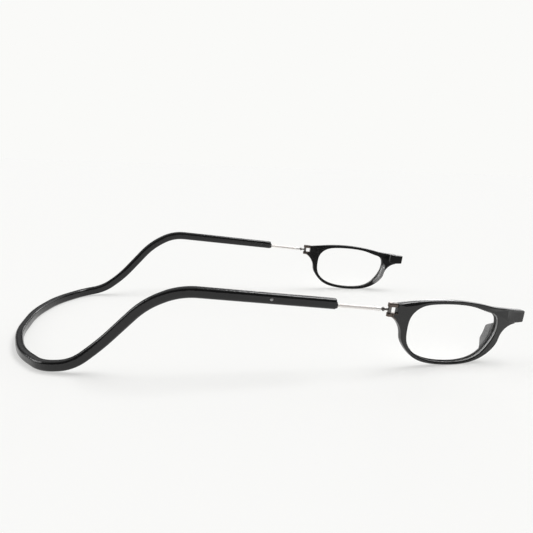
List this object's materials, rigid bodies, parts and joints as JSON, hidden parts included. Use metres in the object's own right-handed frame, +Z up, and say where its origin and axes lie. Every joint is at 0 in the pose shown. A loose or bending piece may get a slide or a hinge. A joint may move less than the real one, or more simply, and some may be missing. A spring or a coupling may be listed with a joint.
{
  "type": "magnetic bridge reading glasses",
  "caption": "Reading glasses with hinged half fronts that a magnet joins at the bridge, on rods that slide in a moulded neckband worn behind the neck.",
  "frame": {"origin": "middle of the overall length and width, on the surface that the glasses lie on", "axes": "+X the way the wearer faces, +Y the wearer's left, +Z up"},
  "size_m": [0.2367, 0.1444, 0.0391],
  "materials": {
    "band_black": "semi-gloss moulded black",
    "frame_black": "polished black",
    "lens_clear": "clear, uncoated",
    "rod_bright": "bright drawn wire",
    "ferrule_bright": "bright turned",
    "inner_brass": "plain turned",
    "hinge_dark": "black plated",
    "screw_steel": "brown-black plated",
    "bush_black": "satin black",
    "pin_dark": "dark polished",
    "magnet_nickel": "nickel plated",
    "cup_steel": "plain steel"
  },
  "bodies": {
    "neckband": {"neckband": "band_black", "guide_bush_right": "bush_black", "guide_bush_left": "bush_black", "stop_pin_right": "pin_dark", "stop_pin_left": "pin_dark"},
    "rod_right": {"temple_rod_right": "rod_bright", "rod_collar_right": "inner_brass", "rod_ferrule_right": "ferrule_bright", "hinge_eye_right": "hinge_dark"},
    "front_right": {"lens_frame_right": "frame_black", "lens_right": "lens_clear", "hinge_screw_right": "screw_steel", "magnet_cup_right": "cup_steel", "magnet_right": "magnet_nickel"},
    "rod_left": {"temple_rod_left": "rod_bright", "rod_collar_left": "inner_brass", "rod_ferrule_left": "ferrule_bright", "hinge_eye_left": "hinge_dark"},
    "front_left": {"lens_frame_left": "frame_black", "lens_left": "lens_clear", "hinge_screw_left": "screw_steel", "magnet_cup_left": "cup_steel", "magnet_left": "magnet_nickel"}
  },
  "joints": [
    {"name": "rod_slide_right", "type": "slide", "parent": "neckband", "child": "rod_right", "axis": [0.995, 0, -0.1], "range_m": [-0.0166, 0.005]},
    {"name": "rod_slide_left", "type": "slide", "parent": "neckband", "child": "rod_left", "axis": [0.995, 0, -0.1], "range_m": [-0.0166, 0.005]},
    {"name": "hinge_right", "type": "hinge", "parent": "rod_right", "child": "front_right", "pos_m": [0.04846, -0.07025, 0.02771], "axis": [0.1, 0, 0.995], "range_deg": [-8, 85.74]},
    {"name": "hinge_left", "type": "hinge", "parent": "rod_left", "child": "front_left", "pos_m": [0.04846, 0.07025, 0.02771], "axis": [-0.1, 0, -0.995], "range_deg": [-8, 85.74]}
  ]
}
